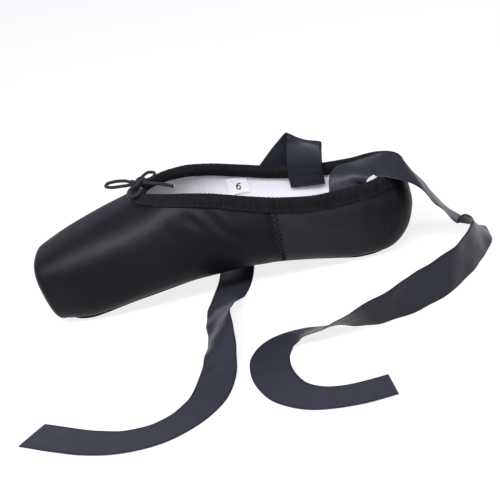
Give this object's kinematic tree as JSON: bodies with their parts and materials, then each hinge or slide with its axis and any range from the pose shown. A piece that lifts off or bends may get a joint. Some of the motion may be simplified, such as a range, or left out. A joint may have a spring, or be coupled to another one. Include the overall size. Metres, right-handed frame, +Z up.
{
  "type": "pointe shoe",
  "caption": "Black satin pointe shoe with a stiff box, flat toe platform, cotton binding, drawstring bow, leather sole and long satin ribbons, empty, lying loose",
  "frame": {"origin": "on the floor in the middle of the shoe's length and width, without the ribbons and the bow", "axes": "toe platform towards -X, heel towards +X, +Z up, near side of the picture towards -Y"},
  "size_m": [0.2744, 0.2363, 0.0763],
  "materials": {
    "satin": "black satin over paste-stiffened cotton",
    "casing_cotton": "matte black cotton tape, gathered and stitched",
    "seam_thread": "black overlock thread",
    "sole_leather": "dark suede-finished leather",
    "insole_cloth": "pale sock cloth",
    "label_cloth": "white woven label",
    "ribbon_satin": "charcoal satin ribbon",
    "drawstring": "black braided cord"
  },
  "bodies": {
    "root": {"upper": "satin", "binding": "casing_cotton", "side_seam_near": "seam_thread", "side_seam_far": "seam_thread", "outsole": "sole_leather", "insole": "insole_cloth", "size_label": "label_cloth", "ribbon_near": "ribbon_satin", "ribbon_far": "ribbon_satin", "bow_knot": "drawstring", "bow_loop_toe": "drawstring", "bow_loop_far": "drawstring", "bow_end_heel": "drawstring", "bow_end_near": "drawstring"}
  },
  "joints": []
}
